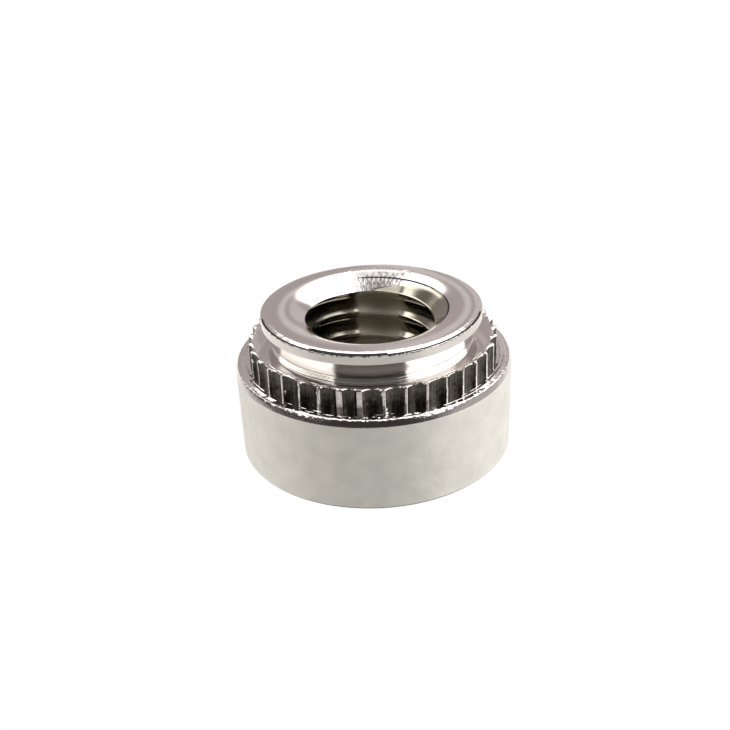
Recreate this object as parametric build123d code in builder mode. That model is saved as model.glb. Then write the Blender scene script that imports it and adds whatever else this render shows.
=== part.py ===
from build123d import *
from math import cos, hypot, radians, sin, tan
import os

# Self-clinching nut for an M6 screw, turned in one piece with a fluted clinching ring.
# Millimetres. The origin is the middle of the head's flat bottom face, and +Z runs along
# the thread, towards the end of the shank that goes into the sheet.

# Head: a plain disc whose top face, the seat, bears on the sheet
head_diameter = 11.05
head_height = 3.80
head_base_edge_radius = 0.08
seat_bevel_width = 0.08
seat_bevel_height = 0.27

# Clinching ring: flutes round its rim stop the nut turning once it is pressed into the sheet.
# Its top slopes down towards the shank, by the degrees given here, and forms the lower side
# of the undercut.
ring_diameter = 9.90
ring_height = 0.93
ring_top_slope = 16
ring_bevel_width = 0.10
ring_bevel_height = 0.08
ring_flute_count = 38
ring_flute_depth = 0.17
ring_crest_width = 0.12

# Shank: fills the sheet's hole. The sheet's metal flows into the undercut below its land
shank_diameter = 8.73
shank_height = 2.03
shank_land_height = 0.40
shank_edge_radius = 0.05
undercut_depth = 0.46
undercut_root_radius = 0.10

# Threaded hole: a smooth wall at the thread's minor diameter, opened by a cone at each end
thread_minor_diameter = 5.00
mouth_cone_angle = 120
shank_mouth_diameter = 6.60
shank_mouth_blend_radius = 2.40
base_mouth_diameter = 6.60

# Places that follow from the sizes
head_radius = head_diameter / 2
ring_radius = ring_diameter / 2
shank_radius = shank_diameter / 2
undercut_radius = shank_radius - undercut_depth
bore_radius = thread_minor_diameter / 2
shank_mouth_radius = shank_mouth_diameter / 2
base_mouth_radius = base_mouth_diameter / 2
mouth_slope = tan(radians(mouth_cone_angle / 2))
shank_mouth_depth = (shank_mouth_radius - bore_radius) / mouth_slope
base_mouth_depth = (base_mouth_radius - bore_radius) / mouth_slope
ring_top = head_height + ring_height
shank_top = head_height + shank_height
land_bottom = shank_top - shank_land_height
ring_top_edge_radius = ring_radius - ring_bevel_width
ring_top_dip = (ring_top_edge_radius - undercut_radius) * tan(radians(ring_top_slope))

# A flute is a round groove. Its radius is the one that reaches the flute's depth at its
# middle and leaves the crest's width between neighbours at the ring's full radius.
flute_pitch_angle = 360 / ring_flute_count
flute_half_angle = radians(flute_pitch_angle) / 2 - ring_crest_width / ring_diameter
flute_root_radius = ring_radius - ring_flute_depth
flute_edge_x = ring_radius * cos(flute_half_angle) - flute_root_radius
flute_edge_y = ring_radius * sin(flute_half_angle)
flute_radius = hypot(flute_edge_x, flute_edge_y) ** 2 / (2 * flute_edge_x)

# Corners of the turned section, as distance from the axis and height
base_mouth = (base_mouth_radius, 0)
base_edge = (head_radius, 0)
seat_bevel_bottom = (head_radius, head_height - seat_bevel_height)
ring_top_edge = (ring_top_edge_radius, ring_top)
undercut_root = (undercut_radius, ring_top - ring_top_dip)
land_edge = (shank_radius, land_bottom)
shank_edge = (shank_radius, shank_top)
shank_edge_end = (shank_radius - shank_edge_radius, shank_top)
shank_mouth = (shank_mouth_radius, shank_top)
shank_mouth_bottom = (bore_radius, shank_top - shank_mouth_depth)


def rounding(radius, corner, before, after):
    """The radius of a rounded corner, less where it would use up a side beside the corner."""
    sides = [Vector(*point) - Vector(*corner) for point in (before, after)]
    shorter_side = min(side.length for side in sides)
    half_angle = radians(sides[0].get_angle(sides[1])) / 2
    return min(radius, 0.9 * shorter_side * tan(half_angle))


with BuildPart() as clinch_nut:
    with BuildSketch(Plane.XZ) as section:
        with BuildLine():
            Polyline(
                (bore_radius, base_mouth_depth),
                base_mouth,
                base_edge,
                seat_bevel_bottom,
                (head_radius - seat_bevel_width, head_height),
                (ring_radius, head_height),
                (ring_radius, ring_top - ring_bevel_height),
                ring_top_edge,
                undercut_root,
                land_edge,
                shank_edge,
                shank_mouth,
                shank_mouth_bottom,
                close=True,
            )
        make_face()
        rounded_corners = (
            (head_base_edge_radius, base_edge, base_mouth, seat_bevel_bottom),
            (undercut_root_radius, undercut_root, ring_top_edge, land_edge),
            (shank_edge_radius, shank_edge, land_edge, shank_mouth),
            (shank_mouth_blend_radius, shank_mouth, shank_edge_end, shank_mouth_bottom),
        )
        for radius, corner, before, after in rounded_corners:
            vertex = section.vertices().sort_by_distance(corner)[0]
            fillet(vertex, rounding(radius, corner, before, after))
    revolve(axis=Axis.Z)

    # The flutes are cut down to the seat, with a crest left on the +X axis
    with BuildSketch(Plane.XY.offset(head_height)):
        with PolarLocations(flute_root_radius + flute_radius, ring_flute_count, flute_pitch_angle / 2):
            Circle(flute_radius)
    extrude(amount=ring_height, mode=Mode.SUBTRACT)

clinch_nut.part.label = "clinch_nut"

os.makedirs("parts", exist_ok=True)
export_step(clinch_nut.part, "parts/clinch_nut.step")
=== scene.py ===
import math

import bpy
import numpy as np
from bpy.props import FloatProperty, FloatVectorProperty, IntProperty, PointerProperty
from bpy.types import Operator, Panel, PropertyGroup
from mathutils import Matrix, Vector, noise


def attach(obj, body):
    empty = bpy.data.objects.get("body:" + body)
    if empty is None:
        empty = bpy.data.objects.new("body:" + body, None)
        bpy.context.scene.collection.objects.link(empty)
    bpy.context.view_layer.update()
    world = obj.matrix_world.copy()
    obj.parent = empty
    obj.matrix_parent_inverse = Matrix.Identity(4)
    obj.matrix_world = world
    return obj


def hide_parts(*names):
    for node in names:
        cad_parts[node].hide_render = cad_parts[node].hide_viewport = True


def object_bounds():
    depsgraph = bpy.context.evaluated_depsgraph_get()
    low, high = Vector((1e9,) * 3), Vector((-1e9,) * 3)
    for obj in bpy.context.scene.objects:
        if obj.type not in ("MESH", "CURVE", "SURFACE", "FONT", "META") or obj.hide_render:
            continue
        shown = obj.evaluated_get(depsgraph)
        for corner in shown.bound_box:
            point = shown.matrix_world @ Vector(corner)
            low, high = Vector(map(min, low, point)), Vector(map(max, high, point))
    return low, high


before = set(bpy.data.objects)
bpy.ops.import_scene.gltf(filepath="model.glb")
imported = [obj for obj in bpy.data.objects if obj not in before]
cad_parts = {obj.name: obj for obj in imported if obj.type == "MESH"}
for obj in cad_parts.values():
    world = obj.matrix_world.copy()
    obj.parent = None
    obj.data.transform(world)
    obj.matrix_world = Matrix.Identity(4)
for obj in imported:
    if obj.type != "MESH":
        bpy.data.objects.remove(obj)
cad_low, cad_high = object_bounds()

bl_info = {
    "name": "Self-clinching nut",
    "version": (1, 0, 0),
    "blender": (4, 5, 0),
    "location": "3D View > Sidebar > Clinch nut",
    "description": "Models a turned, fluted and tapped self-clinching nut and its photo stage",
    "category": "Add Mesh",
}

NODE = "clinch_nut"
NUT = "clinch_nut_turned"
MM = 0.001
BENCH = 1000.0  # the nut is modelled a thousand times larger, one unit to the millimetre


# Sizes and colours that a user would change


class NutSizes(PropertyGroup):
    head_diameter: FloatProperty(
        name="Head diameter", description="Across the head's plain side",
        default=cad_high.x - cad_low.x, unit="LENGTH", precision=5)
    overall_height: FloatProperty(
        name="Overall height", description="From the head's bottom face to the end of the shank",
        default=cad_high.z - cad_low.z, unit="LENGTH", precision=5)
    head_height: FloatProperty(
        name="Head height", description="From the bottom face to the seat",
        default=3.80 * MM, unit="LENGTH", precision=5)
    ring_diameter: FloatProperty(
        name="Ring diameter", description="Across the crests of the clinching ring",
        default=9.90 * MM, unit="LENGTH", precision=5)
    ring_height: FloatProperty(
        name="Ring height", description="From the seat to the ring's top edge",
        default=0.93 * MM, unit="LENGTH", precision=5)
    shank_diameter: FloatProperty(
        name="Shank diameter", description="Across the shank's land",
        default=8.73 * MM, unit="LENGTH", precision=5)
    bore_diameter: FloatProperty(
        name="Bore diameter", description="Minor diameter of the thread",
        default=5.00 * MM, unit="LENGTH", precision=5)
    thread_pitch: FloatProperty(
        name="Thread pitch", description="Rise of the thread in one turn",
        default=1.00 * MM, unit="LENGTH", precision=5)
    thread_turn: FloatProperty(
        name="Thread turn", description="Where the thread starts, as a turn about the axis",
        default=math.radians(150), subtype="ANGLE")
    flutes: IntProperty(
        name="Flutes", description="Number of flutes round the clinching ring",
        default=38, min=12, max=80)


class NutFinish(PropertyGroup):
    plating: FloatVectorProperty(
        name="Plating", description="Colour of the bright plated faces",
        default=(0.66, 0.63, 0.615), subtype="COLOR", size=3, min=0, max=1)
    side: FloatVectorProperty(
        name="Head side", description="Colour of the satin side of the head",
        default=(0.80, 0.79, 0.755), subtype="COLOR", size=3, min=0, max=1)
    # Painted shade: the flutes' dark colour stands for the shade in their recesses.
    flute: FloatVectorProperty(
        name="Flutes", description="Colour of the torn metal in the flutes",
        default=(0.045, 0.042, 0.036), subtype="COLOR", size=3, min=0, max=1)
    scar: FloatVectorProperty(
        name="Scar", description="Colour of the brown scar that the tap left in the countersink",
        default=(0.062, 0.046, 0.036), subtype="COLOR", size=3, min=0, max=1)
    cone: FloatVectorProperty(
        name="Undercut", description="Colour of the bright cone of the undercut",
        default=(0.90, 0.885, 0.865), subtype="COLOR", size=3, min=0, max=1)
    # Painted shadow: a near black for the shade in the fold under the lip's burr and along the outer edge of
    # the tap's scar.
    painted_shadow: FloatVectorProperty(
        name="Crack", description="Colour of the fold under the lip's burr",
        default=(0.02, 0.018, 0.016), subtype="COLOR", size=3, min=0, max=1)
    thread: FloatVectorProperty(
        name="Thread", description="Colour of the metal in the tapped hole",
        default=(0.34, 0.32, 0.27), subtype="COLOR", size=3, min=0, max=1)


# Turned section, as rows of (name, radius, height, finish) in millimetres. A row's finish is
# worn by the surface from that row to the next.

HEAD_BEVEL_WIDTH = 0.075
HEAD_BEVEL_HEIGHT = 0.27
HEAD_BEVEL_END = 0.035  # below the seat, where the seat's burr begins
HEAD_BASE_ROUND = 0.08
MOUTH_RADIUS = 3.30
MOUTH_ANGLE = 30
MOUTH_BLEND = 2.43
BASE_MOUTH_MIDDLE = 2.9
BASE_MOUTH_EDGE = 0.02
BASE_MOUTH_DIP = 0.012
BASE_MIDDLE = 4.4
GROOVE_RADIUS = 3.905
GROOVE_HEIGHT = 0.66  # above the seat
GROOVE_ROUND = 0.06
LAND_HEIGHT = 0.40
LAND_ROUND = 0.004
END_FACE_START = 0.265  # in from the land
END_FACE_RADIUS = 3.96
CONE_BULGE = 0.022
BULGE_SCALE = 27 / 4  # brings the highest value of share * (1 - share) ** 2 to 1
SEAT_START = 0.17  # in from the bevel
SEAT_RIM = 5.28
SEAT_LINES = ((5.225, 5.15), (5.095, 5.02))  # each line's radius, and that of the flat inside it
SEAT_LINE_REACH = 0.02
COLUMNS_PER_FLUTE = 20
RING_SIDE = (0.0, 0.03, 0.16, 0.34, 0.52, 0.68, 0.80, 0.87)  # heights above the seat

# Steps inwards and down from a corner of the section
BEVEL_FOOT = ((0.0, 0.012), (0.008, -0.012))
SEAT_EDGE = ((0.003, 0.036), (0.03, 0.021), (0.085, 0.010), (0.15, 0.002))
RING_EDGE = ((0.012, 0.035), (0.035, 0.013))
RING_RIM = ((0.075, 0.003), (0.13, 0.012))
LAND_FOOT = ((LAND_ROUND, 0.0), (0.0, 0.0), (0.003, -0.1))
LAND_SIDE = ((0.006, 0.16), (0.007, 0.06))
LIP_FOLD = ((0.012, 0.048), (0.028, 0.040), (0.09, 0.029), (0.16, 0.0185))
LIP_BURR = ((0.17, 0.017), (0.20, 0.011), (0.235, 0.004))

# Shares of the way along a straight part of the section
SIDE_SHARES = (0.03, 0.3, 0.65, 0.97)
BEVEL_SHARES = (0.35, 0.65, 0.93)
CONE_SHARES = (0.2, 0.4, 0.6, 0.8, 0.92)
DISH_SHARES = (
    ("dish_line", (0.07, 0.095, 0.12)),
    ("dish", (0.135,)),
    ("dish_line", (0.15, 0.17, 0.19)),
    ("dish", (0.23, 0.35, 0.55, 0.8)),
)

FINISHES = ("turned", "mouth", "side", "edge", "crest", "flute", "dish", "groove", "painted_shadow", "thread")


def arc(centre, radius, start, end, steps):
    """Points on a circle about a centre, from one angle to another, in degrees."""
    angles = [math.radians(start + (end - start) * i / steps) for i in range(steps + 1)]
    return [(centre[0] + radius * math.cos(a), centre[1] + radius * math.sin(a)) for a in angles]


def between(start, end, shares):
    """Points on the line from start to end, at the given shares of its length."""
    return [(start[0] + (end[0] - start[0]) * t, start[1] + (end[1] - start[1]) * t) for t in shares]


def inside(corner, steps):
    """Points that lie inwards and down from a corner by the given steps."""
    return [(corner[0] - inwards, corner[1] - down) for inwards, down in steps]


def rows_at(name, points, finish):
    return [(name, radius, height, finish) for radius, height in points]


def head_rows(head_r, seat, bore_r):
    """The base's mouth, the flat base with its rounded edge, the plain side and the seat's bevel."""
    slope = math.tan(math.radians(MOUTH_ANGLE))
    mouth = [(radius, (MOUTH_RADIUS - radius) * slope) for radius in (bore_r, BASE_MOUTH_MIDDLE)]
    base = [(MOUTH_RADIUS - BASE_MOUTH_EDGE, BASE_MOUTH_DIP), (MOUTH_RADIUS + BASE_MOUTH_EDGE, 0.0)]
    base_edge = arc((head_r - HEAD_BASE_ROUND, HEAD_BASE_ROUND), HEAD_BASE_ROUND, -90, 0, steps=5)
    bevel_foot = (head_r, seat - HEAD_BEVEL_HEIGHT)
    bevel_top = (head_r - HEAD_BEVEL_WIDTH, seat - HEAD_BEVEL_END)
    return [
        *rows_at("base_mouth", mouth, "turned"),
        *rows_at("base", base + [(BASE_MIDDLE, 0.0)], "turned"),
        *rows_at("base_edge", base_edge[:-1], "edge"),
        *rows_at("base_edge", base_edge[-1:], "side"),
        *rows_at("side", between((head_r, HEAD_BASE_ROUND), bevel_foot, SIDE_SHARES), "side"),
        *rows_at("bevel", inside(bevel_foot, BEVEL_FOOT), "edge"),
        *rows_at("bevel", between(bevel_foot, bevel_top, BEVEL_SHARES), "edge"),
    ]


def seat_rows(bevel_top, seat):
    """The seat, with the burr at its rim and the lines that the tool left."""
    rows = rows_at("seat_edge", inside((bevel_top, seat), SEAT_EDGE), "edge")
    rows += rows_at("seat", [(bevel_top - SEAT_START, seat), (SEAT_RIM, seat)], "turned")
    for line, flat in SEAT_LINES:
        trio = [(line + reach, seat) for reach in (SEAT_LINE_REACH, 0, -SEAT_LINE_REACH)]
        rows += rows_at("seat_line", trio, "turned")
        rows += rows_at("seat", [(flat, seat)], "turned")
    return rows


def ring_rows(ring_r, seat, ring_top, groove, land):
    """The ring's side, its edge, and its top, which slopes down to the undercut's rounded root."""
    side = [(ring_r, seat + height) for height in RING_SIDE]
    # The ring's side takes the flutes' finish, which is dark with painted shade.
    rows = rows_at("ring_side", side[:-1], "flute") + rows_at("ring_side", side[-1:], "edge")
    rows += rows_at("ring_edge", inside((ring_r, ring_top), RING_EDGE), "edge")
    rows += rows_at("ring_top", inside((ring_r, ring_top), RING_RIM), "dish")
    rim = rows[-1][1:3]
    for name, shares in DISH_SHARES:
        rows += rows_at(name, between(rim, groove, shares), "dish")
    return rows + rows_at("groove", groove_root(rim, groove, land), "groove")


def shank_rows(land_r, land_low, top, groove):
    """The undercut's cone, the land, the lip with its fold and burr, and the end face."""
    cone = between(groove, (land_r - LAND_ROUND, land_low), CONE_SHARES)
    for number, (radius, height) in enumerate(cone):
        share = (height - groove[1]) / (land_low - groove[1])
        cone[number] = (radius + CONE_BULGE * BULGE_SCALE * share * (1 - share) ** 2, height)
    return [
        *rows_at("cone", cone, "groove"),
        *rows_at("land", inside((land_r, land_low), LAND_FOOT), "turned"),
        *rows_at("land", inside((land_r, top), LAND_SIDE), "turned"),
        # The fold's faces are painted near black, a painted shadow for the shade under the burr.
        *rows_at("lip", inside((land_r, top), LIP_FOLD), "painted_shadow"),
        *rows_at("burr", inside((land_r, top), LIP_BURR), "edge"),
        *rows_at("top", [(land_r - END_FACE_START, top), (END_FACE_RADIUS, top)], "turned"),
    ]


def mouth_rows(bore_r, top):
    """The shank's countersink, blended into the end face, and the bore's wall."""
    blend = MOUTH_BLEND * math.tan(math.radians(MOUTH_ANGLE / 2))
    centre = (MOUTH_RADIUS + blend, top - MOUTH_BLEND)
    depth = (MOUTH_RADIUS - bore_r) * math.tan(math.radians(MOUTH_ANGLE))
    countersink = arc(centre, MOUTH_BLEND, 90, 90 + MOUTH_ANGLE, steps=14)
    return rows_at("mouth", countersink, "mouth") + rows_at("bore", [(bore_r, top - depth)], "thread")


def turned_rows(sizes):
    head_r = sizes.head_diameter / 2 * BENCH
    top = sizes.overall_height * BENCH
    seat = sizes.head_height * BENCH
    ring_r = sizes.ring_diameter / 2 * BENCH
    ring_top = seat + sizes.ring_height * BENCH
    land_r = sizes.shank_diameter / 2 * BENCH
    land_low = top - LAND_HEIGHT
    bore_r = sizes.bore_diameter / 2 * BENCH
    groove = (GROOVE_RADIUS, seat + GROOVE_HEIGHT)
    return [
        *head_rows(head_r, seat, bore_r),
        *seat_rows(head_r - HEAD_BEVEL_WIDTH, seat),
        *ring_rows(ring_r, seat, ring_top, groove, (land_r, land_low)),
        *shank_rows(land_r, land_low, top, groove),
        *mouth_rows(bore_r, top),
    ]


def groove_root(rim, root, land):
    """Rounded bottom of the undercut, between the ring's dished top and the cone."""
    low = (Vector(rim) - Vector(root)).normalized()
    high = (Vector(land) - Vector(root)).normalized()
    half = math.acos(low.dot(high)) / 2
    middle = Vector(root) + (low + high).normalized() * GROOVE_ROUND / math.sin(half)
    reach = GROOVE_ROUND / math.tan(half)
    start, end = Vector(root) + low * reach, Vector(root) + high * reach
    first = math.degrees(math.atan2(*(start - middle).yx))
    last = math.degrees(math.atan2(*(end - middle).yx))
    if last > first:
        last -= 360
    return arc(middle, GROOVE_ROUND, first, last, 5)


# Modelling steps that several pieces share


def put_tools_down():
    if bpy.context.object and bpy.context.object.mode != "OBJECT":
        bpy.ops.object.mode_set(mode="OBJECT")
    bpy.ops.object.select_all(action="DESELECT")


def take(piece):
    put_tools_down()
    piece.select_set(True)
    bpy.context.view_layer.objects.active = piece


def draw_loop(name, points):
    """Draws a closed outline in the XZ plane, one extruded point after another."""
    put_tools_down()
    bpy.ops.mesh.primitive_plane_add(size=0.01, location=(points[0][0], 0, points[0][1]))
    piece = bpy.context.object
    piece.name = piece.data.name = name
    bpy.ops.object.mode_set(mode="EDIT")
    bpy.ops.mesh.select_all(action="SELECT")
    bpy.ops.mesh.merge(type="CENTER")
    for (r0, z0), (r1, z1) in zip(points, points[1:]):
        bpy.ops.mesh.extrude_vertices_move(TRANSFORM_OT_translate={"value": (r1 - r0, 0, z1 - z0)})
    bpy.ops.object.mode_set(mode="OBJECT")
    ends = [v for v in piece.data.vertices if sum(v.index in e.vertices for e in piece.data.edges) == 1]
    for v in piece.data.vertices:
        v.select = v in ends
    bpy.ops.object.mode_set(mode="EDIT")
    bpy.ops.mesh.select_mode(type="VERT")
    bpy.ops.mesh.edge_face_add()
    bpy.ops.object.mode_set(mode="OBJECT")
    bpy.ops.object.transform_apply(location=True, rotation=True, scale=True)
    return piece


def close_up(piece, gap):
    """Merges the points that meet and turns every face outwards."""
    take(piece)
    bpy.ops.object.mode_set(mode="EDIT")
    bpy.ops.mesh.select_all(action="SELECT")
    bpy.ops.mesh.remove_doubles(threshold=gap)
    bpy.ops.mesh.normals_make_consistent(inside=False)
    bpy.ops.object.mode_set(mode="OBJECT")


def points_of(piece):
    co = np.empty(len(piece.data.vertices) * 3, np.float32)
    piece.data.vertices.foreach_get("co", co)
    return co.reshape(-1, 3).astype(float)


def set_points(piece, co):
    piece.data.vertices.foreach_set("co", co.astype(np.float32).ravel())
    piece.data.update()


def nearest_row(co, rows):
    """The number of the section's row that each point was spun from."""
    radius = np.hypot(co[:, 0], co[:, 1])
    marks = np.array([(r, z) for _, r, z, _ in rows])
    near = (radius[:, None] - marks[None, :, 0]) ** 2 + (co[:, 2, None] - marks[None, :, 1]) ** 2
    return near.argmin(1)


def ragged(azimuth, radius, seed, size, lean=0.0):
    """Noise from -1 to 1 along a circle, with features of the given size in millimetres."""
    spots = np.stack([np.cos(azimuth) * radius / size, np.sin(azimuth) * radius / size,
                      np.full(len(azimuth), lean)], -1)
    return np.array([noise.noise(Vector(s) + Vector((seed, 3.1 * seed, 7.7))) for s in spots])


# Nut: turned blank, fluted ring, burrs, tapped hole


def turn(piece, angle, steps, rise=0.0):
    """Sweeps an outline about the Z axis."""
    take(piece)
    sweep = piece.modifiers.new("turn", "SCREW")
    sweep.axis = "Z"
    sweep.angle = angle
    sweep.screw_offset = rise
    sweep.steps = sweep.render_steps = steps
    sweep.use_merge_vertices = False
    bpy.ops.object.modifier_apply(modifier=sweep.name)


def spin_blank(sizes, rows):
    piece = draw_loop(NUT, [(r, z) for _, r, z, _ in rows])
    turn(piece, math.tau, sizes.flutes * COLUMNS_PER_FLUTE)
    close_up(piece, gap=0.0005)
    return piece


CREST_COLUMNS = 2
CHIP_COLUMNS = 4  # a chip is bright as far as this from a crest
CHIP_BRIGHT = 1.25  # the bright part of a chip, as a share of its size
# Chips and flakes on the ring's side, as azimuth in degrees, height, size and rise. Where the
# rise is below zero, metal is missing.
CHIPS = (
    (-113.5, 4.47, 0.07, 0.075), (-104, 4.52, 0.05, -0.04), (-97, 4.05, 0.06, 0.04),
    (-86.5, 4.60, 0.05, -0.05), (-84, 3.95, 0.06, 0.05), (-66, 4.42, 0.05, -0.05),
    (-57, 4.10, 0.07, 0.06), (-52, 4.02, 0.05, 0.05), (-36, 4.30, 0.06, 0.06),
    (-33, 4.05, 0.06, 0.05), (-123, 4.50, 0.05, -0.05), (-131, 3.98, 0.06, 0.05),
    (-146, 4.55, 0.07, 0.06), (-152, 4.20, 0.06, -0.05), (-160, 4.45, 0.07, 0.07),
    (-22, 4.50, 0.07, 0.06), (20, 4.3, 0.06, 0.05), (64, 4.5, 0.06, -0.05),
    (95, 4.1, 0.06, 0.05), (131, 4.4, 0.06, -0.05))
CHIP_STRETCH = 1.2  # a chip's height to its width
FOLD_SHADOW_END_Y = -0.9  # the painted shadow in the fold under the lip's burr ends behind this line
FOLD_SHADOW_INNER_RADIUS = 4.28  # its rows inside this radius keep the painted shadow only before and left of the next two
FOLD_SHADOW_INNER_END_Y = -3.6
FOLD_SHADOW_INNER_END_X = 0.6


def face_rows(mesh, row_of_point):
    """The number of the section's row that each face starts from."""
    corners = np.empty(len(mesh.loops), np.int32)
    mesh.loops.foreach_get("vertex_index", corners)
    four = row_of_point[corners].reshape(-1, 4)
    first, last = four.min(1), four.max(1)
    return np.where(last - first > 1, last, first)


def face_middles(mesh):
    middles = np.empty(len(mesh.polygons) * 3, np.float32)
    mesh.polygons.foreach_get("center", middles)
    return middles.reshape(-1, 3)


def paint_ring(sizes, slots, middles):
    """Gives the crests and the chips beside them finishes of their own."""
    azimuth = np.arctan2(middles[:, 1], middles[:, 0])
    place = azimuth % math.tau / math.tau * sizes.flutes * COLUMNS_PER_FLUTE
    from_crest = (place + COLUMNS_PER_FLUTE / 2) % COLUMNS_PER_FLUTE - COLUMNS_PER_FLUTE / 2
    crest = (slots == FINISHES.index("flute")) & (np.abs(from_crest) < CREST_COLUMNS)
    slots[crest] = FINISHES.index("crest")
    ring_r = sizes.ring_diameter / 2 * BENCH
    for degrees, height, size, _ in CHIPS:
        turn_away = azimuth - math.radians(degrees)
        off = ((turn_away + math.pi) % math.tau - math.pi) * ring_r
        chip = np.hypot(off, middles[:, 2] - height) < CHIP_BRIGHT * size
        chip &= (slots == FINISHES.index("flute")) & (np.abs(from_crest) < CHIP_COLUMNS)
        slots[chip] = FINISHES.index("edge")


def end_fold_shadow(rows, start, slots, middles):
    """Ends the painted shadow in the fold under the lip's burr, whose inner part is the first to end; the
    fold's shape stays as it is.
    """
    x, y = middles[:, 0], middles[:, 1]
    inner = np.array([name == "lip" and radius < FOLD_SHADOW_INNER_RADIUS for name, radius, _, _ in rows])
    shadow_ends = (slots == FINISHES.index("painted_shadow")) & (y > FOLD_SHADOW_END_Y)
    shadow_ends |= inner[start] & ((y > FOLD_SHADOW_INNER_END_Y) | (x > FOLD_SHADOW_INNER_END_X))
    slots[shadow_ends] = FINISHES.index("turned")


def paint_rows(piece, sizes, rows, row_of_point):
    """Gives each face the finish of the section's row that it starts from."""
    mesh = piece.data
    for finish in FINISHES:
        mesh.materials.append(bpy.data.materials[finish])
    start = face_rows(mesh, row_of_point)
    slots = np.array([FINISHES.index(finish) for _, _, _, finish in rows])[start]
    middles = face_middles(mesh)
    paint_ring(sizes, slots, middles)
    end_fold_shadow(rows, start, slots, middles)
    mesh.polygons.foreach_set("material_index", slots.astype(np.int32))


FLUTE_SEED = 38
FLUTE_DEPTH = 0.170
CREST_WIDTH = 0.080
WIDE_CRESTS = {27: 0.30, 28: 0.20, 35: 0.14}
CREST_CORNER_DROP = 0.010
GROOVE_START_DROP = 0.022
GROOVE_START = 0.035  # beyond the crest's flat
RIM_FALL = 0.28  # how far the ring's rim falls where the flutes draw it in, as a share of the draw
DISH_FOLLOWS = (0.45, 0.1)  # how far the top's first rows follow the flutes


def flute_outline(columns, depth, crest, ring_r, pitch):
    """Azimuth offset and depth below the crest for the columns of one flute, crest to crest.
    The crest is a narrow flat with rounded corners, and the flute is a round groove."""
    half = pitch * ring_r / 2
    edge = half - crest / 2
    curve = (edge ** 2 + depth ** 2) / (2 * depth)
    step = np.arange(columns + 1) / columns * 2  # 0 at a crest, 1 at the flute's middle, 2 at the next crest
    side = np.where(step > 1, 2 - step, step)
    # The first columns crowd round the crest's corner
    flat, corner, start, middle = 0.1, 0.2, 0.3, 1
    reaches = (0, crest * 0.32, crest * 0.52, crest * 0.5 + GROOVE_START, half)
    along = np.interp(side, (0, flat, corner, start, middle), reaches)
    into = half - along
    drop = curve - depth - np.sqrt(np.maximum(curve ** 2 - into ** 2, 0))
    drop = np.maximum(np.clip(-drop, 0, None), GROOVE_START_DROP)
    drop = np.where(side <= flat, 0.0, np.where(side <= corner, CREST_CORNER_DROP, drop))
    signed = np.where(step > 1, 2 * half - along, along)
    return signed / ring_r, drop


def cut_flutes(piece, sizes, rows, row_of_point):
    """Shapes the ring's side into flutes of uneven depth, width and lean, as knurling leaves them."""
    co = points_of(piece)
    count, per = sizes.flutes, COLUMNS_PER_FLUTE
    ring_r = sizes.ring_diameter / 2 * BENCH
    seat = sizes.head_height * BENCH
    pitch = math.tau / count
    dice = np.random.default_rng(FLUTE_SEED)

    def uneven(spread, low=-1.5, high=1.5):
        return spread * dice.standard_normal(count).clip(low, high)

    depth = FLUTE_DEPTH * (1 + uneven(0.10))
    crest = CREST_WIDTH * (1 + uneven(0.30, low=-1.2, high=1.8))
    for number, width in WIDE_CRESTS.items():
        crest[number] = width
    shift = uneven(0.0035)
    lean = uneven(0.006)
    azimuth = np.arctan2(co[:, 1], co[:, 0]) % math.tau
    column = np.rint(azimuth / (pitch / per)).astype(int) % (count * per)
    flute, place = column // per, column % per
    names = np.array([name for name, *_ in rows])
    part = names[row_of_point]
    follow = np.isin(part, ("ring_side", "ring_edge", "ring_top")).astype(float)
    for number, share in zip(np.flatnonzero(names == "dish"), DISH_FOLLOWS):
        follow[row_of_point == number] = share
    touched = np.flatnonzero(follow > 0)
    spin_to = np.zeros(len(co))
    drop_to = np.zeros(len(co))
    for k in range(count):
        following = (k + 1) % count
        offset, drop = flute_outline(per, depth[k], (crest[k] + crest[following]) / 2, ring_r, pitch)
        mine = touched[flute[touched] == k]
        at = place[mine]
        t = at / per
        rise = (co[mine, 2] - seat) / (sizes.ring_height * BENCH)
        slide = shift[k] * (1 - t) + shift[following] * t
        tilt = (lean[k] * (1 - t) + lean[following] * t) * (rise - 0.5)
        spin_to[mine] = k * pitch + offset[at] + slide + tilt
        drop_to[mine] = drop[at]
    radius = np.hypot(co[:, 0], co[:, 1])
    straight = column * (pitch / per)
    turned = straight + (spin_to - straight) * follow
    inner = radius - drop_to * follow
    fall = (radius - inner) * RIM_FALL * np.isin(part, ("ring_edge", "ring_top", "dish"))
    co[touched, 0] = inner[touched] * np.cos(turned[touched])
    co[touched, 1] = inner[touched] * np.sin(turned[touched])
    co[touched, 2] -= fall[touched]
    set_points(piece, co)


# Torn edges, as parts of the section, sway outwards, sway upwards and the tears' size
TORN_EDGES = (
    (("burr", "lip"), 0.012, 0.003, 0.12),
    (("seat_edge",), 0.012, 0.010, 0.09),
    (("bevel",), 0.004, 0.003, 0.30),
    (("ring_edge",), 0.028, 0.030, 0.08),
    (("ring_top",), 0.018, 0.020, 0.10),
)
TEAR_RADIUS = 4.3
UPWARD_SEEDS = 20  # what is added to a seed for the upward sway
LINE_RADIUS = 5.0
# Lines that the tool left, as part, height, and how far the line is worn away at the front
TOOL_LINES = (("seat_line", 0.011, 0.0), ("dish_line", 0.012, 1.0))
LINE_SECTION = (-0.3, 1.0, -0.3)
LINE_LONG_WAVE = 2.2
LINE_SHORT_WAVE = 0.25
FRONT_TEAR_GAIN = 2.0
FRONT_FROM = 0.80  # the front of the nut, as the least sine of the angle to its sides
SEAT_BURR_RADIUS = 5.4
SEAT_BURR_SEED = 9.0
SEAT_BURR_TEARS = 0.13
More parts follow.
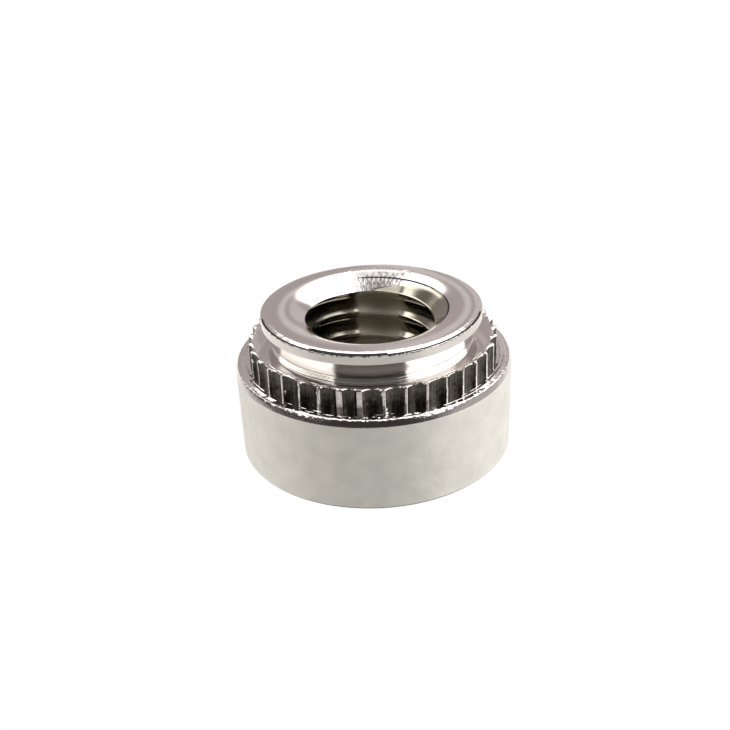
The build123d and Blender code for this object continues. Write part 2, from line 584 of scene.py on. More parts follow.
# The seat's burr, as shares of its width in the section, and what the front adds to them
SEAT_BURR_WIDTH = 0.18
SEAT_BURR_FRONT_WIDTH = 0.99
SEAT_BURR_SWAY = 0.16
SEAT_BURR_FRONT_SWAY = 0.29
SEAT_BURR_LIMITS = (0.12, 1.6)


def at_front(azimuth, softness):
    """1 at the front of the nut and 0 elsewhere, with a step of the given softness between."""
    return np.clip((-np.sin(azimuth) - FRONT_FROM) / softness, 0, 1)


def tear_edges(part, azimuth, out, up):
    for seed, (rims, radial, axial, size) in enumerate(TORN_EDGES, start=1):
        rim = np.flatnonzero(np.isin(part, rims))
        out[rim] = radial * ragged(azimuth[rim], TEAR_RADIUS, seed, size)
        up[rim] = axial * ragged(azimuth[rim], TEAR_RADIUS, seed + UPWARD_SEEDS, size, lean=2.0)
    rim = np.flatnonzero(part == "seat_edge")
    up[rim] *= 1 + FRONT_TEAR_GAIN * at_front(azimuth[rim], softness=0.15)


def draw_tool_lines(part, row_of_point, azimuth, up):
    """Raises the three rows of each line into a low ridge that comes and goes."""
    for seed, (name, height, wear) in enumerate(TOOL_LINES, start=40):
        for trio in np.unique(row_of_point[part == name]).reshape(-1, 3):
            for number, share in zip(trio, LINE_SECTION):
                mine = np.flatnonzero(row_of_point == number)
                long_wave = ragged(azimuth[mine], LINE_RADIUS, seed + trio[0], LINE_LONG_WAVE)
                short_wave = ragged(azimuth[mine], LINE_RADIUS, seed + trio[1], LINE_SHORT_WAVE)
                left = 1 - wear * at_front(azimuth[mine], softness=0.12)
                deep = np.clip(0.45 + 0.9 * long_wave + 0.5 * short_wave, 0, 1)
                up[mine] = height * share * (deep * left)


def widen_seat_burr(sizes, part, azimuth, radius, out):
    """The seat's burr is widest at the front, where the tool left the cut."""
    front = at_front(azimuth, softness=0.18)
    rim = np.isin(part, ("seat_edge", "seat")) & (radius > SEAT_RIM)
    outer = sizes.head_diameter / 2 * BENCH - HEAD_BEVEL_WIDTH
    tears = ragged(azimuth, SEAT_BURR_RADIUS, SEAT_BURR_SEED, SEAT_BURR_TEARS)
    width = SEAT_BURR_WIDTH + SEAT_BURR_FRONT_WIDTH * front
    width += (SEAT_BURR_SWAY + SEAT_BURR_FRONT_SWAY * front) * tears
    out[rim] -= ((outer - radius) * (np.clip(width, *SEAT_BURR_LIMITS) - 1))[rim]


def chip_ring(sizes, part, azimuth, height_of, out):
    around = azimuth % math.tau
    ring_r = sizes.ring_diameter / 2 * BENCH
    side = np.flatnonzero(np.isin(part, ("ring_side", "ring_edge", "ring_top")))
    for degrees, height, size, rise in CHIPS:
        across = (around[side] - math.radians(degrees % 360)) * ring_r / size
        above = (height_of[side] - height) / (CHIP_STRETCH * size)
        out[side] += rise * np.exp(-across ** 2 - above ** 2)


def raise_burrs(piece, sizes, rows, row_of_point):
    """Breaks the clean edges: ragged lip, ragged seat edge, the tool's lines and nicked crests."""
    co = points_of(piece)
    azimuth = np.arctan2(co[:, 1], co[:, 0])
    radius = np.hypot(co[:, 0], co[:, 1])
    part = np.array([name for name, *_ in rows])[row_of_point]
    out = np.zeros(len(co))
    up = np.zeros(len(co))
    tear_edges(part, azimuth, out, up)
    draw_tool_lines(part, row_of_point, azimuth, up)
    widen_seat_burr(sizes, part, azimuth, radius, out)
    chip_ring(sizes, part, azimuth, co[:, 2], out)
    # Nothing rises above the end face or reaches past the head's side
    limit = np.isin(part, ("burr", "top"))
    up[limit] = np.minimum(up[limit], 0.0)
    radius = np.minimum(radius + out, sizes.head_diameter / 2 * BENCH)
    co[:, 0] = radius * np.cos(azimuth)
    co[:, 1] = radius * np.sin(azimuth)
    co[:, 2] += up
    set_points(piece, co)


# Upper half of the thread's groove, as distance out from the bore and width in pitches
THREAD_GROOVE = (
    (-0.12, 0.478), (-0.01, 0.462), (0.015, 0.450), (0.07, 0.408), (0.25, 0.262),
    (0.38, 0.160), (0.50, 0.070), (0.56, 0.038), (0.59, 0.015), (0.60, 0.0))
STEPS_PER_TURN = 120


def make_tap(sizes):
    """A coil with the section of the thread's groove, longer than the nut at both ends."""
    pitch = sizes.thread_pitch * BENCH
    length = sizes.overall_height * BENCH
    turns = math.ceil(length / pitch) + 2
    bore_r = sizes.bore_diameter / 2 * BENCH
    upper = [(bore_r + out, width * pitch) for out, width in THREAD_GROOVE]
    lower = [(r, -w) for r, w in reversed(upper[:-1])]
    piece = draw_loop("tap", upper + lower)
    take(piece)
    bpy.ops.transform.translate(value=(0, 0, -pitch))
    bpy.ops.object.transform_apply(location=True)
    turn(piece, math.tau * turns, STEPS_PER_TURN * turns, pitch * turns)
    bpy.ops.object.mode_set(mode="EDIT")
    bpy.ops.mesh.select_mode(type="EDGE")
    bpy.ops.mesh.select_all(action="DESELECT")
    bpy.ops.mesh.select_non_manifold(
        extend=False, use_wire=False, use_multi_face=False, use_non_contiguous=False, use_verts=False)
    bpy.ops.mesh.fill()
    bpy.ops.object.mode_set(mode="OBJECT")
    close_up(piece, gap=0.0005)
    piece.rotation_euler.z = sizes.thread_turn
    bpy.ops.object.transform_apply(rotation=True)
    for finish in FINISHES:
        piece.data.materials.append(bpy.data.materials[finish])
    slots = np.full(len(piece.data.polygons), FINISHES.index("thread"), np.int32)
    piece.data.polygons.foreach_set("material_index", slots)
    return piece


def tap_hole(piece, tap):
    take(piece)
    cut = piece.modifiers.new("tapped", "BOOLEAN")
    cut.operation = "DIFFERENCE"
    cut.solver = "EXACT"
    cut.object = tap
    bpy.ops.object.modifier_apply(modifier=cut.name)
    bpy.data.objects.remove(tap, do_unlink=True)
    close_up(piece, gap=0.0002)


# Nodes that the finishes and the studio share


def new_finish(name, colour, roughness):
    material = bpy.data.materials.new(name)
    material.use_nodes = True
    shader = material.node_tree.nodes["Principled BSDF"]
    shader.inputs["Base Color"].default_value = (*colour, 1)
    shader.inputs["Metallic"].default_value = 1.0
    shader.inputs["Roughness"].default_value = roughness
    return material.node_tree, shader


def node(tree, kind, **values):
    made = tree.nodes.new(kind)
    for key, value in values.items():
        setattr(made, key, value)
    return made


def give(tree, socket, value):
    """Links a socket to another node's output, or sets it to a number."""
    if isinstance(value, (int, float)):
        socket.default_value = value
    else:
        tree.links.new(value, socket)


def maths(tree, operation, *values):
    made = node(tree, "ShaderNodeMath", operation=operation)
    for socket, value in zip(made.inputs, values):
        give(tree, socket, value)
    return made.outputs[0]


def times(tree, first, second):
    return maths(tree, "MULTIPLY", first, second)


def plus(tree, first, second):
    return maths(tree, "ADD", first, second)


def minus(tree, first, second):
    return maths(tree, "SUBTRACT", first, second)


def opposite(tree, mask):
    """0 where the mask is 1, and 1 where it is 0."""
    return minus(tree, 1.0, mask)


def smooth(tree, value, low, high):
    """0 below low, 1 above high, with a soft step between."""
    made = node(tree, "ShaderNodeMapRange", interpolation_type="SMOOTHSTEP")
    for name, limit in (("Value", value), ("From Min", low), ("From Max", high)):
        give(tree, made.inputs[name], limit)
    return made.outputs["Result"]


def window(tree, value, low, high, edge):
    """1 between low and high, 0 outside, with soft edges."""
    rise = smooth(tree, value, low - edge, low + edge)
    return times(tree, rise, opposite(tree, smooth(tree, value, high - edge, high + edge)))


def blend_colours(tree, factor, first, second):
    """first where the factor is 0, second where it is 1."""
    made = node(tree, "ShaderNodeMix", data_type="RGBA")
    tree.links.new(factor, made.inputs["Factor"])
    sockets = [socket for socket in made.inputs if socket.type == "RGBA"]
    for socket, colour in zip(sockets, (first, second)):
        if isinstance(colour, bpy.types.NodeSocket):
            tree.links.new(colour, socket)
        else:
            socket.default_value = (*colour, 1)
    return [socket for socket in made.outputs if socket.type == "RGBA"][0]


def join_xyz(tree, *values):
    joined = node(tree, "ShaderNodeCombineXYZ")
    for socket, value in zip(joined.inputs, values):
        give(tree, socket, value)
    return joined.outputs[0]


def split_xyz(tree, vector):
    split = node(tree, "ShaderNodeSeparateXYZ")
    tree.links.new(vector, split.inputs[0])
    return split.outputs


def place_in(tree):
    return node(tree, "ShaderNodeTexCoord").outputs["Object"]


def around_axis(tree):
    """Distance from the axis, height, and the x and y of the direction away from the axis."""
    x, y, z = split_xyz(tree, place_in(tree))
    flat = join_xyz(tree, x, y, 0.0)
    radius = node(tree, "ShaderNodeVectorMath", operation="LENGTH")
    tree.links.new(flat, radius.inputs[0])
    direction = node(tree, "ShaderNodeVectorMath", operation="NORMALIZE")
    tree.links.new(flat, direction.inputs[0])
    away_x, away_y, _ = split_xyz(tree, direction.outputs[0])
    return radius.outputs["Value"], z, away_x, away_y


def polar_place(tree):
    """Distance from the axis, azimuth in degrees with 0 to the right and 90 at the back, and height."""
    x, y, z = split_xyz(tree, place_in(tree))
    radius = maths(tree, "SQRT", plus(tree, times(tree, x, x), times(tree, y, y)))
    azimuth = maths(tree, "DEGREES", maths(tree, "ARCTAN2", y, x))
    return radius, azimuth, z


def noise_at(tree, vector, scale, detail):
    made = node(tree, "ShaderNodeTexNoise")
    made.inputs["Scale"].default_value = scale
    made.inputs["Detail"].default_value = detail
    tree.links.new(vector, made.inputs["Vector"])
    return made.outputs["Fac"]


def ring_noise(tree, along, around, detail=3):
    """Noise that runs along the turned section and hardly at all around it, as a lathe's lines do."""
    radius, height, away_x, away_y = around_axis(tree)
    run = times(tree, plus(tree, radius, height), along)
    place = join_xyz(tree, run, times(tree, away_x, around), times(tree, away_y, around))
    return noise_at(tree, place, scale=1.0, detail=detail)


def streak_noise(tree, around, along, detail=3):
    """Noise in streaks that run parallel to the axis."""
    _, height, away_x, away_y = around_axis(tree)
    run = times(tree, height, along)
    place = join_xyz(tree, times(tree, away_x, around), times(tree, away_y, around), run)
    return noise_at(tree, place, scale=1.0, detail=detail)


def bump(tree, shader, height, depth, below=None):
    made = node(tree, "ShaderNodeBump")
    made.inputs["Strength"].default_value = 1.0
    made.inputs["Distance"].default_value = depth
    tree.links.new(height, made.inputs["Height"])
    if below is not None:
        tree.links.new(below, made.inputs["Normal"])
    tree.links.new(made.outputs["Normal"], shader.inputs["Normal"])
    return made.outputs["Normal"]


def shade(colour, factor):
    return tuple(min(1.0, c * factor) for c in colour)


def vary_shade(tree, shader, factor, colour, low, high):
    """Blends the base colour between two shades of a colour by a mask or a noise."""
    skin = blend_colours(tree, factor, shade(colour, low), shade(colour, high))
    tree.links.new(skin, shader.inputs["Base Color"])


# Finishes

FLUTE_PAINTED_LIGHT_HEIGHTS = (4.0 * MM, 4.8 * MM)  # the flutes' painted shade is lighter above these
DULL_AND_LIT_AZIMUTHS = (64, 103)  # degrees that the thread's dull patch covers, which is also painted paler as painted light

# The countersink: distances are from the axis, in metres, and azimuths in degrees
CHATTER_AZIMUTHS = (66, 102)
CHATTER_WANDER = 22.0  # by how much the patch's ends stray
CHATTER_TEETH = 1.83  # radians of the teeth's swing to a degree of azimuth
CHATTER_JITTER = 1.5
CHATTER_EVEN = (2.96 * MM, 3.24 * MM)
CHATTER_LOW = (2.9 * MM, 3.1 * MM)
CHATTER_FADE = (3.5 * MM, 3.7 * MM)
SCAR_RADIUS = 3.09 * MM  # where the tap's scar crosses the right-hand side
SCAR_SLOPE = 0.0013 * MM  # its growth to a degree of azimuth
SCAR_AZIMUTHS = (-28, 38)
SCAR_BAND = (2.67 * MM, 2.93 * MM)
SCAR_WHOLE_END = (4, 22)  # before these azimuths the scar reaches down to the bore
# The painted shadow line along the scar's outer edge, for the shade at the edge of the groove's burr:
SCAR_SHADOW_AZIMUTHS = (-35, 98)
SCAR_SHADOW_WIDTH = 0.10 * MM


def turned_finish(finish):
    tree, shader = new_finish("turned", finish.plating, roughness=0.11)
    bump(tree, shader, ring_noise(tree, along=30000, around=1.2), depth=0.001 * MM)
    lines = ring_noise(tree, along=9000, around=3.0, detail=4)
    vary_shade(tree, shader, lines, finish.plating, low=0.88, high=1.12)


def chatter_teeth(tree, radius, azimuth, blotch, patch):
    """Dark teeth, even at the middle of the patch's height and blotchy above and below."""
    swing = plus(tree, times(tree, azimuth, CHATTER_TEETH), times(tree, blotch, CHATTER_JITTER))
    even = window(tree, radius, *CHATTER_EVEN, edge=0.06 * MM)
    low = opposite(tree, smooth(tree, radius, *CHATTER_LOW))
    teeth = times(tree, maths(tree, "SINE", swing), times(tree, even, 0.26))
    teeth = plus(tree, plus(tree, teeth, blotch), times(tree, low, 0.10))
    worn = minus(tree, 0.62, times(tree, low, 0.40))
    deep = plus(tree, 0.28, times(tree, low, 0.22))
    teeth = plus(tree, worn, times(tree, smooth(tree, teeth, 0.38, 0.72), deep))
    fade = opposite(tree, smooth(tree, radius, *CHATTER_FADE))
    return times(tree, teeth, times(tree, patch, fade))


def scar_masks(tree, radius, azimuth):
    """The brown of the scar, and the painted shadow line along its outer edge, for the shade at the edge of
    the groove's burr; the line draws in towards the bore as it runs clockwise."""
    line = plus(tree, SCAR_RADIUS, times(tree, azimuth, SCAR_SLOPE))
    within = minus(tree, line, radius)
    streak = ring_noise(tree, along=4500, around=3.0, detail=2)
    wobble = times(tree, minus(tree, streak, 0.5), 0.3 * MM)
    band = window(tree, plus(tree, radius, wobble), *SCAR_BAND, 0.04 * MM)
    front = opposite(tree, smooth(tree, azimuth, *SCAR_WHOLE_END))
    front = times(tree, front, smooth(tree, streak, 0.25, 0.60))
    burnt = times(tree, maths(tree, "MAXIMUM", band, front), window(tree, azimuth, *SCAR_AZIMUTHS, edge=9.0))
    burnt = times(tree, burnt, smooth(tree, within, -0.01 * MM, 0.02 * MM))
    fine = smooth(tree, ring_noise(tree, along=6500, around=5.0), 0.40, 0.58)
    burnt = times(tree, burnt, plus(tree, 0.45, times(tree, fine, 0.55)))
    # Painted shadow along the scar's outer edge
    edge = window(tree, within, 0.0, SCAR_SHADOW_WIDTH, 0.01 * MM)
    return burnt, times(tree, edge, window(tree, azimuth, *SCAR_SHADOW_AZIMUTHS, edge=5.0))


def mouth_finish(finish):
    """The countersink: bright, with a chattered patch at the back, the tap's brown scar and a painted shadow
    line along the scar's edge.
    """
    tree, shader = new_finish("mouth", finish.plating, roughness=0.10)
    radius, azimuth, _ = polar_place(tree)
    chatter = streak_noise(tree, around=46, along=900)
    blotch = ring_noise(tree, along=3600, around=24.0)
    uneven = plus(tree, azimuth, times(tree, minus(tree, blotch, 0.5), CHATTER_WANDER))
    patch = window(tree, uneven, *CHATTER_AZIMUTHS, edge=3.0)
    below = bump(tree, shader, times(tree, chatter, patch), depth=0.010 * MM)
    bump(tree, shader, ring_noise(tree, along=30000, around=1.2), depth=0.001 * MM, below=below)
    teeth = chatter_teeth(tree, radius, azimuth, blotch, patch)
    burnt, edge = scar_masks(tree, radius, azimuth)
    skin = blend_colours(tree, teeth, finish.plating, shade(finish.plating, 0.07))
    skin = blend_colours(tree, burnt, skin, finish.scar)
    # Painted shadow: the near black line along the scar's edge
    skin = blend_colours(tree, edge, skin, finish.painted_shadow)
    tree.links.new(skin, shader.inputs["Base Color"])


def side_finish(finish):
    tree, shader = new_finish("side", finish.side, roughness=0.55)
    blotch = noise_at(tree, place_in(tree), scale=1300, detail=5)
    vary_shade(tree, shader, blotch, finish.side, low=0.86, high=1.14)
    below = bump(tree, shader, noise_at(tree, place_in(tree), scale=1600, detail=3), depth=0.030 * MM)
    bump(tree, shader, noise_at(tree, place_in(tree), scale=9000, detail=3), depth=0.004 * MM, below=below)


def edge_finish(finish):
    tree, shader = new_finish("edge", finish.plating, roughness=0.14)
    bump(tree, shader, noise_at(tree, place_in(tree), scale=12000, detail=3), depth=0.004 * MM)


def crest_finish(finish):
    tree, shader = new_finish("crest", finish.plating, roughness=0.24)
    nick = noise_at(tree, place_in(tree), scale=9000, detail=3)
    vary_shade(tree, shader, nick, finish.plating, low=0.55, high=1.5)
    bump(tree, shader, nick, depth=0.008 * MM)


def flute_finish(finish):
    """Painted shade: dark for the shade in the flutes' recesses, with paler streaks at random, and less of
    it towards the top of the ring.
    """
    tree, shader = new_finish("flute", finish.flute, roughness=0.32)
    streak = streak_noise(tree, around=60, along=900)
    torn = noise_at(tree, place_in(tree), scale=7000, detail=4)
    _, _, height = polar_place(tree)
    # Painted shade that lightens towards the top of the ring, plus paler streaks and spots at random
    worn = times(tree, smooth(tree, height, *FLUTE_PAINTED_LIGHT_HEIGHTS), 0.35)
    worn = plus(tree, worn, times(tree, plus(tree, streak, torn), 0.9))
    vary_shade(tree, shader, smooth(tree, worn, 0.60, 1.50), finish.flute, low=0.35, high=2.6)
    bump(tree, shader, torn, depth=0.010 * MM)


def dish_finish(finish):
    """The ring's top: plated like the faces, with the lines that the tool left."""
    tree, shader = new_finish("dish", finish.plating, roughness=0.10)
    rings = ring_noise(tree, along=16000, around=2.0, detail=4)
    vary_shade(tree, shader, rings, finish.plating, low=0.92, high=1.04)
    bump(tree, shader, rings, depth=0.0015 * MM)


def groove_finish(finish):
    tree, shader = new_finish("groove", finish.cone, roughness=0.08)
    bump(tree, shader, ring_noise(tree, along=26000, around=1.0), depth=0.0008 * MM)


# Painted shadow: dark and rough, for the shade in the fold under the lip's burr.
def painted_shadow_finish(finish):
    new_finish("painted_shadow", finish.painted_shadow, roughness=0.5)


def thread_finish(finish):
    """The thread's metal, with a patch at the back where it is dull, and painted paler there as painted
    light.
    """
    tree, shader = new_finish("thread", finish.thread, roughness=0.10)
    _, azimuth, _ = polar_place(tree)
    dull_and_lit = window(tree, azimuth, *DULL_AND_LIT_AZIMUTHS, edge=3.0)
    tree.links.new(plus(tree, 0.10, times(tree, dull_and_lit, 0.35)), shader.inputs["Roughness"])
    marks = ring_noise(tree, along=16000, around=3.0)
    skin = blend_colours(tree, marks, shade(finish.thread, 0.8), shade(finish.thread, 1.2))
    # Painted light: the dull patch is painted paler, for the light that the back of the hole catches.
    skin = blend_colours(tree, dull_and_lit, skin, shade(finish.thread, 1.7))
    tree.links.new(skin, shader.inputs["Base Color"])
    bump(tree, shader, marks, depth=0.002 * MM)


def make_finishes(finish):
    for make in (turned_finish, mouth_finish, side_finish, edge_finish, crest_finish,
                 flute_finish, dish_finish, groove_finish, painted_shadow_finish, thread_finish):
        make(finish)


# Stage: floor, studio and camera

VIEW_ELEVATION = 27.47
VIEW_DISTANCE = 39.42 * MM
VIEW_ROLL = -2.51
VIEW_TURN = 1.06
VIEW_TARGET = (0.097 * MM, 0.0, 3.259 * MM)
FRAME_PIXELS = 730
FOCAL_PIXELS = 970.5
CENTRE_X = 376.0
CENTRE_Y = 362.6
SENSOR = 36.0


def set_camera():
    lens = bpy.data.cameras.new("view")
    lens.sensor_width = SENSOR
    lens.lens = FOCAL_PIXELS / FRAME_PIXELS * SENSOR
    lens.shift_x = (FRAME_PIXELS / 2 - CENTRE_X) / FRAME_PIXELS
    lens.shift_y = (CENTRE_Y - FRAME_PIXELS / 2) / FRAME_PIXELS
    lens.clip_start = 1 * MM
    lens.clip_end = 10.0
    camera = bpy.data.objects.new("view", lens)
    bpy.context.scene.collection.objects.link(camera)
    elevation, roll = math.radians(VIEW_ELEVATION), math.radians(VIEW_ROLL)
    back = Vector((0, -math.cos(elevation), math.sin(elevation)))
    right = Vector((1, 0, 0))
    up = back.cross(right)
    across = math.cos(roll) * right + math.sin(roll) * up
    upright = -math.sin(roll) * right + math.cos(roll) * up
    place = Vector(VIEW_TARGET) + back * VIEW_DISTANCE
    pose = Matrix((across, upright, back)).transposed().to_4x4()
    pose.translation = place
    camera.matrix_world = Matrix.Rotation(math.radians(VIEW_TURN), 4, "Z") @ pose
    bpy.context.scene.camera = camera


def lay_floor():
    """A pale floor. What the nut mirrors of it comes from the studio, as its own light falls off."""
    put_tools_down()
    bpy.ops.mesh.primitive_plane_add(size=3.0, location=(0, 0, 0))
    floor = bpy.context.object
    floor.name = floor.data.name = "floor"
    material = bpy.data.materials.new("floor")
    material.use_nodes = True
    tree = material.node_tree
    tree.nodes.clear()
    paper = node(tree, "ShaderNodeEmission")
    paper.inputs["Color"].default_value = (1, 1, 1, 1)
    out = node(tree, "ShaderNodeOutputMaterial")
    tree.links.new(paper.outputs[0], out.inputs["Surface"])
    floor.data.materials.append(material)
    floor.visible_glossy = floor.visible_diffuse = floor.visible_shadow = False


DARK_ROOM = (0.045, 0.040, 0.036)
ROOM_BAND = (0.36, 0.34, 0.32)
SOFTBOX = (3.2, 3.17, 3.12)
LEFT_STRIP = (1.75, 1.70, 1.62)
LEFT_NEAR = (0.15, 0.125, 0.11)
LEFT_MIDDLE = (0.34, 0.30, 0.28)
RIGHT_NEAR = (0.45, 0.39, 0.36)
RIGHT_MIDDLE = (2.3, 2.25, 2.2)
FAR_END = (0.90, 0.83, 0.80)
BACK_WALL = (0.52, 0.462, 0.448)
LIGHT_WALL = (0.74, 0.66, 0.64)
WALL_GLOW = (0.78, 0.72, 0.70)
TENT_GAP = (0.48, 0.45, 0.43)
MOUTH_GAP = (1.10, 1.04, 1.0)
FLOOR_LIGHT = (1.0, 0.975, 0.925)
NO_LIGHT = (0.0, 0.0, 0.0)
WHITE = (1.0, 1.0, 1.0)

# Steps from one part of the studio to the next, as ranges of one component of the direction that
# a ray takes. x runs to the right, y away from the camera and z up.
OVERHEAD_Z = (0.83, 0.87)
OVERHEAD_END_Y = (0.05, 0.15)
SOFTBOX_EDGE = (-0.012, 0.012)
LEFT_GAP_OVERHEAD = 0.10
LEFT_GAP_MOST = 0.66
RIGHT_GAP_MOST = 0.58
SIDE_END_Z = (0.42, 0.50)
LEFT_END_X = (0.52, 0.58)
RIGHT_END_X = (0.44, 0.50)
LEFT_MIDDLE_Y = (-0.05, 0.12)
LEFT_FAR_Y = (0.40, 0.56)
RIGHT_MIDDLE_Y = (-0.45, -0.41)
RIGHT_FAR_Y = (0.38, 0.46)
LEFT_STRIP_END_Z = (0.36, 0.44)
OVERHEAD_NEAR_X = (0.32, 0.37)
ROOM_BAND_Z = (0.28, 0.58)
ROOM_BAND_END_Z = (0.60, 0.66)
TENT_GAP_Y = (-0.30, -0.10)
MOUTH_GAP_Y = (0.075, 0.19)
MOUTH_GAP_STEP = 0.06
BESIDE_END_Y = (0.54, 0.62)
BESIDE_X = (0.50, 0.62)
NEARER_END_Y = (0.3, 0.5)
LOW_EDGE = 0.57
LOW_EDGE_BESIDE = 0.47
LOW_EDGE_NEARER = 0.25
LOW_EDGE_STEP = (-0.03, 0.03)
LOW_LIGHT_Y = (0.0, 0.5)
WALL_Y = (0.80, 0.86)
GLOW_MIDDLE = 0.03
GLOW_END = (0.015, 0.075)
LIGHT_WALL_X = (0.12, 0.17)
LIGHT_WALL_Z = (0.05, 0.15)
TABLE_SIDES = (-0.3, 0.3)
TABLE_FADE_END = 0.92
TABLE_DOWN = (0.04, 0.34)
TABLE_BEHIND_Y = (0.5, 0.85)
TABLE_RIGHT_X = (0.62, 0.95)
TABLE_UNDER = (0.65, 0.9)
HORIZON = (-0.01, 0.01)


def widening(tree, y, width, start, growth):
    """Half a gap that widens by the growth as y falls below the start."""
    return plus(tree, width, times(tree, minus(tree, start, y), growth))


def softbox_edges(tree, x, y, overhead):
    """How far a ray has passed the inner edge of the left and of the right softbox."""
    left_gap = widening(tree, y, width=0.25, start=0.15, growth=0.54)
    left_gap = plus(tree, left_gap, times(tree, overhead, LEFT_GAP_OVERHEAD))
    right_gap = times(tree, widening(tree, y, width=0.10, start=0.15, growth=0.60), opposite(tree, overhead))
    near_gap = times(tree, widening(tree, y, width=0.27, start=0.05, growth=0.125), overhead)
    left_gap = maths(tree, "MINIMUM", left_gap, LEFT_GAP_MOST)
    right_gap = maths(tree, "MINIMUM", plus(tree, near_gap, right_gap), RIGHT_GAP_MOST)
    past_left = smooth(tree, minus(tree, times(tree, x, -1.0), left_gap), *SOFTBOX_EDGE)
    return past_left, smooth(tree, minus(tree, x, right_gap), *SOFTBOX_EDGE)


def softboxes(tree, x, y, z, overhead):
    """Each softbox ends at the side, above a strip of light that reaches down to the table."""
    high = smooth(tree, z, *SIDE_END_Z)
    left_end = times(tree, smooth(tree, times(tree, x, -1.0), *LEFT_END_X), high)
    right_end = times(tree, smooth(tree, x, *RIGHT_END_X), high)
    left_dim = blend_colours(tree, smooth(tree, y, *LEFT_MIDDLE_Y), LEFT_NEAR, LEFT_MIDDLE)
    left_dim = blend_colours(tree, smooth(tree, y, *LEFT_FAR_Y), left_dim, FAR_END)
    right_dim = blend_colours(tree, smooth(tree, y, *RIGHT_MIDDLE_Y), RIGHT_NEAR, RIGHT_MIDDLE)
    right_dim = blend_colours(tree, smooth(tree, y, *RIGHT_FAR_Y), right_dim, FAR_END)
    left_box = blend_colours(tree, smooth(tree, z, *LEFT_STRIP_END_Z), LEFT_STRIP, SOFTBOX)
    left_box = blend_colours(tree, left_end, left_box, left_dim)
    right_box = blend_colours(tree, right_end, SOFTBOX, right_dim)
    near_end = times(tree, overhead, smooth(tree, x, *OVERHEAD_NEAR_X))
    return left_box, blend_colours(tree, near_end, right_box, RIGHT_NEAR)


def open_sky(tree, x, y, z):
    """The softboxes with the gap between them. The gap shows the dark room round the camera, which
    has a lit band at the camera's height."""
    overhead = times(tree, smooth(tree, z, *OVERHEAD_Z), opposite(tree, smooth(tree, y, *OVERHEAD_END_Y)))
    past_left, past_right = softbox_edges(tree, x, y, overhead)
    left_box, right_box = softboxes(tree, x, y, z, overhead)
    lit_band = times(tree, smooth(tree, z, *ROOM_BAND_Z), opposite(tree, smooth(tree, z, *ROOM_BAND_END_Z)))
    room = blend_colours(tree, lit_band, DARK_ROOM, ROOM_BAND)
    gap_light = blend_colours(tree, smooth(tree, y, *TENT_GAP_Y), room, TENT_GAP)
    gap_light = blend_colours(tree, window(tree, y, *MOUTH_GAP_Y, MOUTH_GAP_STEP), gap_light, MOUTH_GAP)
    return blend_colours(tree, past_left, blend_colours(tree, past_right, gap_light, right_box), left_box)


def above_low_edge(tree, x, y, z):
    """1 above the light's lower edge, which lies lower beside the nut than behind it."""
    to_a_side = smooth(tree, maths(tree, "ABSOLUTE", x), *BESIDE_X)
    beside = times(tree, opposite(tree, smooth(tree, y, *BESIDE_END_Y)), to_a_side)
    low_edge = minus(tree, LOW_EDGE, times(tree, beside, LOW_EDGE_BESIDE))
    nearer = opposite(tree, smooth(tree, y, *NEARER_END_Y))
    near_edge = minus(tree, LOW_EDGE, times(tree, nearer, LOW_EDGE_NEARER))
    return smooth(tree, minus(tree, z, maths(tree, "MINIMUM", low_edge, near_edge)), *LOW_EDGE_STEP)


def upper_light(tree, x, y, z):
    """All above the horizon: the softboxes, the dim light below them and the wall behind the nut."""
    low_light = blend_colours(tree, smooth(tree, y, *LOW_LIGHT_Y), DARK_ROOM, BACK_WALL)
    sky = blend_colours(tree, above_low_edge(tree, x, y, z), low_light, open_sky(tree, x, y, z))
    off_middle = maths(tree, "ABSOLUTE", minus(tree, x, GLOW_MIDDLE))
    wall_light = blend_colours(tree, smooth(tree, off_middle, *GLOW_END), WALL_GLOW, BACK_WALL)
    light_side = times(tree, smooth(tree, x, *LIGHT_WALL_X), smooth(tree, z, *LIGHT_WALL_Z))
    wall_light = blend_colours(tree, light_side, wall_light, LIGHT_WALL)
    return blend_colours(tree, smooth(tree, y, *WALL_Y), sky, wall_light)


def lower_light(tree, x, y, z):
    """The floor's light, which fades towards the camera, towards the horizon and under the nut."""
    level = maths(tree, "SQRT", minus(tree, 1.0, times(tree, z, z)))
    level = maths(tree, "MAXIMUM", level, 0.01)
    towards = maths(tree, "DIVIDE", times(tree, y, -1.0), level)
    aside = maths(tree, "DIVIDE", x, level)
    turn_end = plus(tree, -0.5, times(tree, smooth(tree, aside, *TABLE_SIDES), 0.95))
    lit_side = opposite(tree, smooth(tree, towards, turn_end, TABLE_FADE_END))
    strength = plus(tree, 0.72, times(tree, lit_side, 0.40))
    down = times(tree, z, -1.0)
    fade = plus(tree, 0.05, times(tree, smooth(tree, down, *TABLE_DOWN), 0.95))
    fade = maths(tree, "MAXIMUM", fade, times(tree, smooth(tree, y, *TABLE_BEHIND_Y), 0.5))
    fade = maths(tree, "MAXIMUM", fade, times(tree, smooth(tree, x, *TABLE_RIGHT_X), 0.5))
    under = opposite(tree, times(tree, smooth(tree, down, *TABLE_UNDER), 0.75))
    strength = times(tree, times(tree, strength, fade), under)
    light = blend_colours(tree, strength, NO_LIGHT, FLOOR_LIGHT)
    light.node.clamp_factor = False
    return light


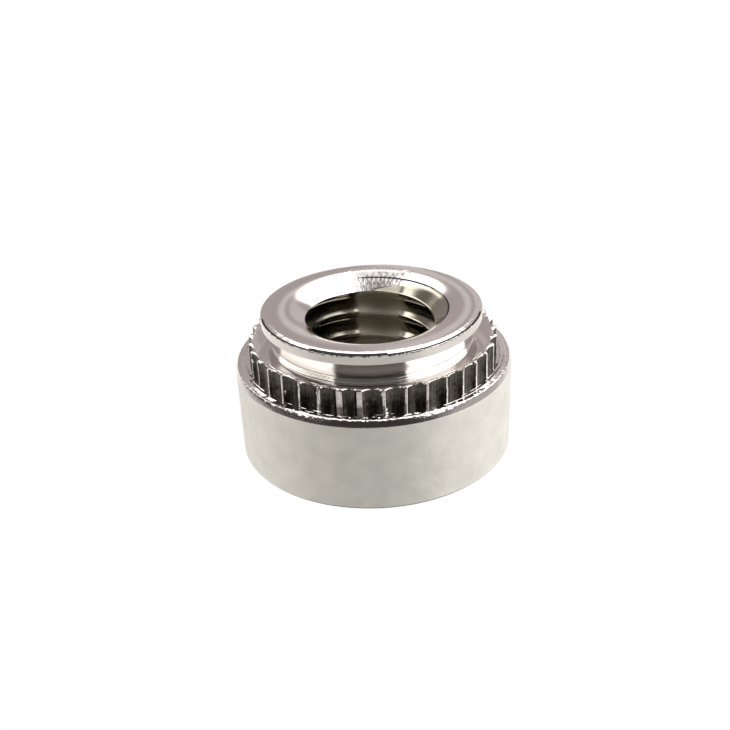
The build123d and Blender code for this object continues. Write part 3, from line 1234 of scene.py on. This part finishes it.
def set_studio():
    """A softbox on each side, a plain wall behind, the dark room round the camera between them,
    and the floor's light, which fades towards the dark edge of the table."""
    world = bpy.data.worlds.new("studio")
    bpy.context.scene.world = world
    world.use_nodes = True
    tree = world.node_tree
    tree.nodes.clear()
    x, y, z = split_xyz(tree, node(tree, "ShaderNodeTexCoord").outputs["Generated"])
    light = blend_colours(
        tree, smooth(tree, z, *HORIZON), lower_light(tree, x, y, z), upper_light(tree, x, y, z))
    seen = blend_colours(tree, node(tree, "ShaderNodeLightPath").outputs["Is Camera Ray"], light, WHITE)
    background = node(tree, "ShaderNodeBackground")
    tree.links.new(seen, background.inputs["Color"])
    out = node(tree, "ShaderNodeOutputWorld")
    tree.links.new(background.outputs[0], out.inputs["Surface"])
    bpy.context.scene.view_settings.view_transform = "Standard"


# Operators and panel


class CLINCHNUT_OT_nut(Operator):
    """Turns the nut's blank, knurls its clinching ring and taps its hole"""
    bl_idname = "clinchnut.nut"
    bl_label = "Model the nut"

    def execute(self, context):
        sizes = context.scene.clinchnut_sizes
        make_finishes(context.scene.clinchnut_finish)
        rows = turned_rows(sizes)
        nut = spin_blank(sizes, rows)
        row_of_point = nearest_row(points_of(nut), rows)
        paint_rows(nut, sizes, rows, row_of_point)
        cut_flutes(nut, sizes, rows, row_of_point)
        raise_burrs(nut, sizes, rows, row_of_point)
        tap_hole(nut, make_tap(sizes))
        nut.scale = (MM, MM, MM)
        take(nut)
        bpy.ops.object.transform_apply(scale=True)
        bpy.ops.object.shade_smooth_by_angle(angle=math.radians(32))
        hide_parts(NODE)
        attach(nut, "root")
        return {"FINISHED"}


class CLINCHNUT_OT_stage(Operator):
    """Lays the pale floor and sets up the studio and the camera"""
    bl_idname = "clinchnut.stage"
    bl_label = "Set the stage"

    def execute(self, context):
        lay_floor()
        set_studio()
        set_camera()
        return {"FINISHED"}


class CLINCHNUT_PT_panel(Panel):
    """Sizes, finishes and build steps of the nut"""
    bl_idname = "CLINCHNUT_PT_panel"
    bl_label = "Clinch nut"
    bl_space_type = "VIEW_3D"
    bl_region_type = "UI"
    bl_category = "Clinch nut"

    def draw(self, context):
        for group in (context.scene.clinchnut_sizes, context.scene.clinchnut_finish):
            for name in group.__annotations__:
                self.layout.prop(group, name)
        self.layout.operator(CLINCHNUT_OT_nut.bl_idname)
        self.layout.operator(CLINCHNUT_OT_stage.bl_idname)


CLASSES = (NutSizes, NutFinish, CLINCHNUT_OT_nut, CLINCHNUT_OT_stage, CLINCHNUT_PT_panel)


def register():
    for each in CLASSES:
        bpy.utils.register_class(each)
    bpy.types.Scene.clinchnut_sizes = PointerProperty(type=NutSizes)
    bpy.types.Scene.clinchnut_finish = PointerProperty(type=NutFinish)


def unregister():
    del bpy.types.Scene.clinchnut_finish
    del bpy.types.Scene.clinchnut_sizes
    for each in reversed(CLASSES):
        bpy.utils.unregister_class(each)


def main():
    register()
    bpy.ops.clinchnut.nut()
    bpy.ops.clinchnut.stage()


if __name__ == "__main__":
    main()
